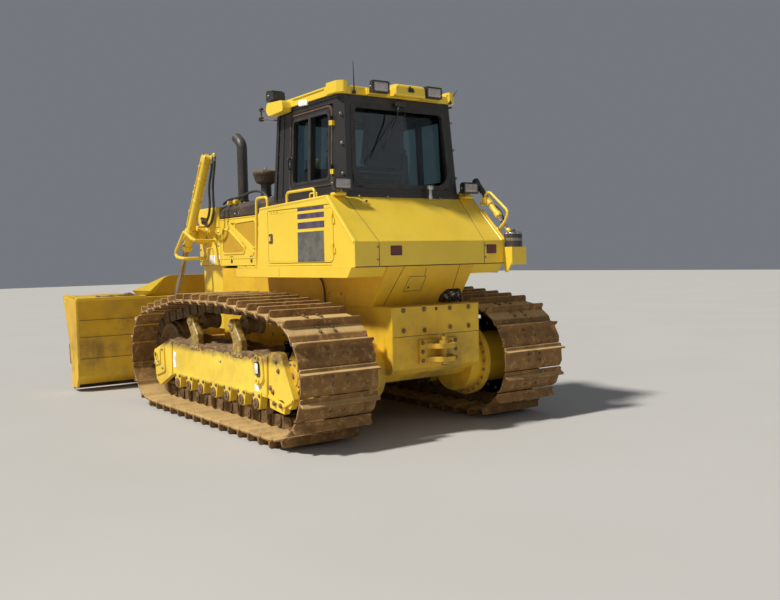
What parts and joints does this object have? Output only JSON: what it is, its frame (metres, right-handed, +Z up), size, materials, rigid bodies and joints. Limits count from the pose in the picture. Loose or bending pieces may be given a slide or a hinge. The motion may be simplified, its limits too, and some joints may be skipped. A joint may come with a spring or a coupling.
{
  "type": "crawler bulldozer",
  "caption": "Crawler bulldozer with wide tracks, enclosed cab and a straight blade on an inside push frame that lifts, angles and tilts.",
  "frame": {"origin": "on the ground, under the middle of the whole machine", "axes": "+X forward towards the blade, +Y to the machine's left, +Z up"},
  "size_m": [5.7298, 3.58, 3.2953],
  "materials": {
    "yellow": "satin",
    "track": "worn and dusty",
    "worn_steel": "worn",
    "cab_dark": "satin",
    "glass": "clear",
    "black_paint": "matt",
    "black_plastic": "matt",
    "radiator": "matt",
    "engine_grey": "matt",
    "seat_fabric": "woven",
    "lamp_black": "matt",
    "chrome": "polished"
  },
  "bodies": {
    "chassis": {"axles": "yellow", "cab_ends": "cab_dark", "cab_floor": "cab_dark", "cab_glass": "glass", "cab_roof": "yellow", "cab_sides": "cab_dark", "canister": "black_paint", "console": "black_plastic", "corner_gear": "yellow", "cowl": "yellow", "door_hinges": "yellow", "engine": "engine_grey", "exhaust": "black_paint", "final_drives": "yellow", "fuel_tank": "yellow", "grille": "black_paint", "handrails": "yellow", "hitch": "yellow", "hood": "black_paint", "idlers": "worn_steel", "jack_rod": "chrome", "lamps": "lamp_black", "main_frame": "yellow", "nose": "yellow", "pre_cleaner": "black_paint", "radiator": "radiator", "rear_plate": "yellow", "running_boards": "yellow", "seat": "seat_fabric", "side_box_left": "yellow", "side_box_right": "yellow", "sprockets": "worn_steel", "track_frame_left": "yellow", "track_frame_right": "yellow", "track_left": "track", "track_right": "track", "track_rollers": "worn_steel"},
    "c_frame": {"c_frame": "yellow"},
    "blade_mount": {"blade_mount": "yellow"},
    "blade": {"blade": "yellow", "cutting_edge": "worn_steel"},
    "fan": {"fan": "black_plastic"},
    "tilt_barrel": {"tilt_barrel": "yellow"},
    "tilt_rod": {"tilt_rod": "chrome"},
    "cab_door_left": {"cab_door_left": "cab_dark", "door_glass_left": "glass"},
    "engine_panel_left": {"engine_panel_left": "yellow"},
    "service_door_left": {"service_door_left": "yellow"},
    "lift_barrel_left": {"lift_barrel_left": "yellow"},
    "lift_rod_left": {"lift_rod_left": "chrome"},
    "angle_barrel_left": {"angle_barrel_left": "yellow"},
    "angle_rod_left": {"angle_rod_left": "chrome"},
    "cab_door_right": {"cab_door_right": "cab_dark", "door_glass_right": "glass"},
    "engine_panel_right": {"engine_panel_right": "yellow"},
    "service_door_right": {"service_door_right": "yellow"},
    "lift_barrel_right": {"lift_barrel_right": "yellow"},
    "lift_rod_right": {"lift_rod_right": "chrome"},
    "angle_barrel_right": {"angle_barrel_right": "yellow"},
    "angle_rod_right": {"angle_rod_right": "chrome"}
  },
  "joints": [
    {"name": "blade_lift", "type": "hinge", "parent": "chassis", "child": "c_frame", "pos_m": [-0.38512, 0, 0.6], "axis": [0, -1, 0], "range_deg": [-9.4, 22.8]},
    {"name": "blade_angle", "type": "hinge", "parent": "c_frame", "child": "blade_mount", "pos_m": [2.01488, 0, 0.47], "axis": [0, 0, 1], "range_deg": [-25, 25]},
    {"name": "blade_tilt", "type": "hinge", "parent": "blade_mount", "child": "blade", "pos_m": [2.01488, 0, 0.47], "axis": [1, 0, 0], "range_deg": [-6.5, 6.5]},
    {"name": "lift_barrel_swing_left", "type": "hinge", "parent": "chassis", "child": "lift_barrel_left", "pos_m": [1.16088, 0.72, 1.938], "axis": [0, -1, 0], "range_deg": [-8.95, 21.68]},
    {"name": "lift_rod_slide_left", "type": "slide", "parent": "lift_barrel_left", "child": "lift_rod_left", "axis": [0.5524, 0, -0.8336], "range_m": [-0.8023, 0.332]},
    {"name": "angle_barrel_swing_left", "type": "hinge", "parent": "c_frame", "child": "angle_barrel_left", "pos_m": [1.27488, 0.58, 0.74], "axis": [0, 0, 1], "range_deg": [-3.89, 3.89]},
    {"name": "angle_rod_slide_left", "type": "slide", "parent": "angle_barrel_left", "child": "angle_rod_left", "axis": [0.9998, -0.0217, 0], "range_m": [-0.2435, 0.2435]},
    {"name": "lift_barrel_swing_right", "type": "hinge", "parent": "chassis", "child": "lift_barrel_right", "pos_m": [1.16088, -0.72, 1.938], "axis": [0, -1, 0], "range_deg": [-8.95, 21.68]},
    {"name": "lift_rod_slide_right", "type": "slide", "parent": "lift_barrel_right", "child": "lift_rod_right", "axis": [0.5524, 0, -0.8336], "range_m": [-0.8023, 0.332]},
    {"name": "angle_barrel_swing_right", "type": "hinge", "parent": "c_frame", "child": "angle_barrel_right", "pos_m": [1.27488, -0.58, 0.74], "axis": [0, 0, 1], "range_deg": [-3.89, 3.89]},
    {"name": "angle_rod_slide_right", "type": "slide", "parent": "angle_barrel_right", "child": "angle_rod_right", "axis": [0.9998, 0.0217, 0], "range_m": [-0.2435, 0.2435]},
    {"name": "tilt_barrel_swing", "type": "hinge", "parent": "blade_mount", "child": "tilt_barrel", "pos_m": [2.15088, -0.15, 1.01], "axis": [1, 0, 0], "range_deg": [-5.08, 5.08]},
    {"name": "tilt_rod_slide", "type": "slide", "parent": "tilt_barrel", "child": "tilt_rod", "axis": [0, 1, 0], "range_m": [-0.0632, 0.0632]},
    {"name": "fan_spin", "type": "hinge", "parent": "chassis", "child": "fan", "pos_m": [1.11488, 0, 1.74], "axis": [1, 0, 0], "continuous": true},
    {"name": "cab_door_swing_left", "type": "hinge", "parent": "chassis", "child": "cab_door_left", "pos_m": [-2.07312, 0.699, 2.3], "axis": [0, 0, 1], "range_deg": [0, 95]},
    {"name": "engine_panel_swing_left", "type": "hinge", "parent": "chassis", "child": "engine_panel_left", "pos_m": [-0.25112, 0.5293, 1.8], "axis": [0, 0, 1], "range_deg": [0, 95]},
    {"name": "service_door_swing_left", "type": "hinge", "parent": "chassis", "child": "service_door_left", "pos_m": [-2.34112, 0.8683, 1.8], "axis": [0, 0, 1], "range_deg": [0, 100]},
    {"name": "cab_door_swing_right", "type": "hinge", "parent": "chassis", "child": "cab_door_right", "pos_m": [-2.07312, -0.699, 2.3], "axis": [0, 0, -1], "range_deg": [0, 95]},
    {"name": "engine_panel_swing_right", "type": "hinge", "parent": "chassis", "child": "engine_panel_right", "pos_m": [-0.25112, -0.5293, 1.8], "axis": [0, 0, -1], "range_deg": [0, 95]},
    {"name": "service_door_swing_right", "type": "hinge", "parent": "chassis", "child": "service_door_right", "pos_m": [-2.34112, -0.8683, 1.8], "axis": [0, 0, -1], "range_deg": [0, 100]}
  ],
  "couplings": [
    {"joint": "lift_barrel_swing_left", "follows": "blade_lift", "ratio": 0.95},
    {"joint": "lift_rod_slide_left", "follows": "blade_lift", "m_per_rad": -2.0112},
    {"joint": "angle_barrel_swing_left", "follows": "blade_angle", "ratio": 0.15469},
    {"joint": "angle_rod_slide_left", "follows": "blade_angle", "m_per_rad": -0.55343},
    {"joint": "lift_barrel_swing_right", "follows": "blade_lift", "ratio": 0.95},
    {"joint": "lift_rod_slide_right", "follows": "blade_lift", "m_per_rad": -2.0112},
    {"joint": "angle_barrel_swing_right", "follows": "blade_angle", "ratio": 0.15469},
    {"joint": "angle_rod_slide_right", "follows": "blade_angle", "m_per_rad": 0.55343},
    {"joint": "tilt_barrel_swing", "follows": "blade_tilt", "ratio": 0.77866},
    {"joint": "tilt_rod_slide", "follows": "blade_tilt", "m_per_rad": -0.53944}
  ]
}
